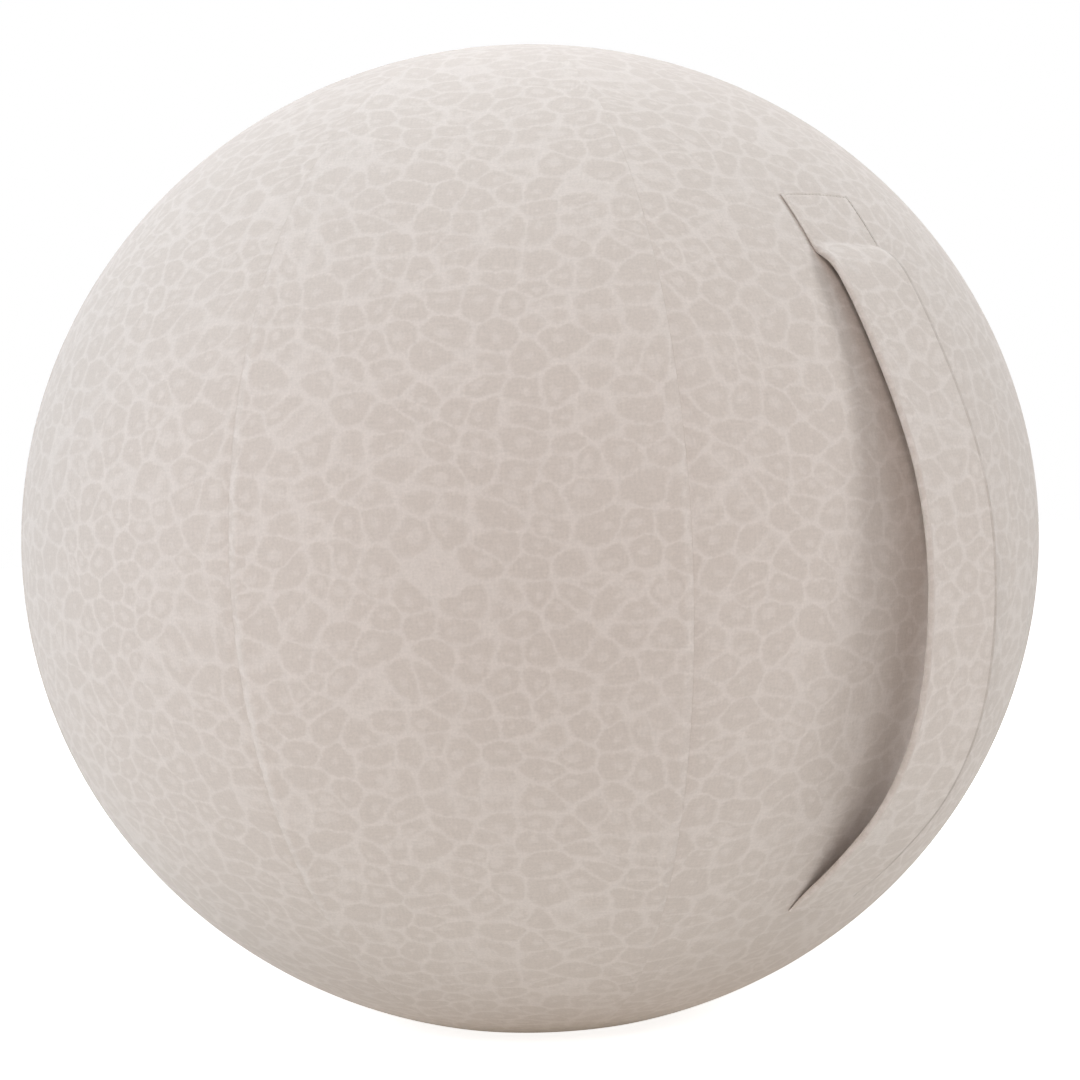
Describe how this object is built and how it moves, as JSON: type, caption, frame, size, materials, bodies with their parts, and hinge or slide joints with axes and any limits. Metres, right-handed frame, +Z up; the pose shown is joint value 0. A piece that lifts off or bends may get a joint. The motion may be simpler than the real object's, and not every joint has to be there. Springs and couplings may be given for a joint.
{
  "type": "sitting ball",
  "caption": "Inflated sitting ball in a sewn, animal-print cloth cover with long seamed panels, a flat non-slip base, a carrying strap and a zip.",
  "frame": {"origin": "middle of the flat base, on the floor", "axes": "+Z up; +X outwards through the middle of the carrying strap"},
  "size_m": [0.6755, 0.65, 0.6179],
  "materials": {
    "cover_cloth": "woven upholstery cloth, tone on tone print, foam backed",
    "lining_cloth": "plain woven lining",
    "webbing": "woven webbing",
    "base_cloth": "non-slip coated cloth with raised dots",
    "base_ring": "dense moulded foam rubber",
    "air_ball": "smooth soft vinyl",
    "valve": "moulded soft plastic",
    "zip_tape": "woven zip tape",
    "zip_teeth": "moulded plastic, dyed to the cloth",
    "zip_metal": "die cast, painted to match"
  },
  "bodies": {
    "ball": {"cover_panel_1": "cover_cloth", "cover_panel_2": "cover_cloth", "cover_panel_3": "cover_cloth", "cover_panel_4": "cover_cloth", "cover_panel_5": "cover_cloth", "cover_panel_6": "cover_cloth", "cover_panel_7": "cover_cloth", "cover_panel_8": "cover_cloth", "crown_panel": "cover_cloth", "base_panel": "base_cloth", "base_ring": "base_ring", "air_ball": "air_ball", "valve_seat": "valve", "handle_end_upper": "cover_cloth", "handle_end_lower": "cover_cloth", "handle_backing_upper": "lining_cloth", "handle_backing_lower": "lining_cloth", "zip_tape_left": "zip_tape", "zip_tape_right": "zip_tape", "zip_teeth_left": "zip_teeth", "zip_teeth_right": "zip_teeth", "zip_closed_stops": "zip_teeth", "zip_open_stop": "zip_teeth"},
    "handle": {"handle_outer": "cover_cloth", "handle_core": "webbing", "handle_lining": "lining_cloth"},
    "slider": {"zip_slider": "zip_metal"},
    "pull": {"zip_pull": "zip_metal"},
    "plug": {"valve_plug": "valve"}
  },
  "joints": [
    {"name": "handle_swing", "type": "hinge", "parent": "ball", "child": "handle", "pos_m": [0.29247, 0, 0.26872], "axis": [0.1156, 0, 0.9933], "range_deg": [-12, 12]},
    {"name": "zip_run", "type": "hinge", "parent": "ball", "child": "slider", "pos_m": [-0.0129, 0.00655, 0.30173], "axis": [0.4524, 0.8918, 0], "range_deg": [0, 67.8], "deforming": ["zip_teeth_left", "zip_teeth_right"]},
    {"name": "zip_pull_turn", "type": "hinge", "parent": "slider", "child": "pull", "pos_m": [-0.19946, 0.10119, 0.07006], "axis": [0.4524, 0.8918, 0], "range_deg": [-43, 127]},
    {"name": "valve_plug_pull", "type": "slide", "parent": "ball", "child": "plug", "axis": [0, 0, -1], "range_m": [0, 0.018]}
  ]
}
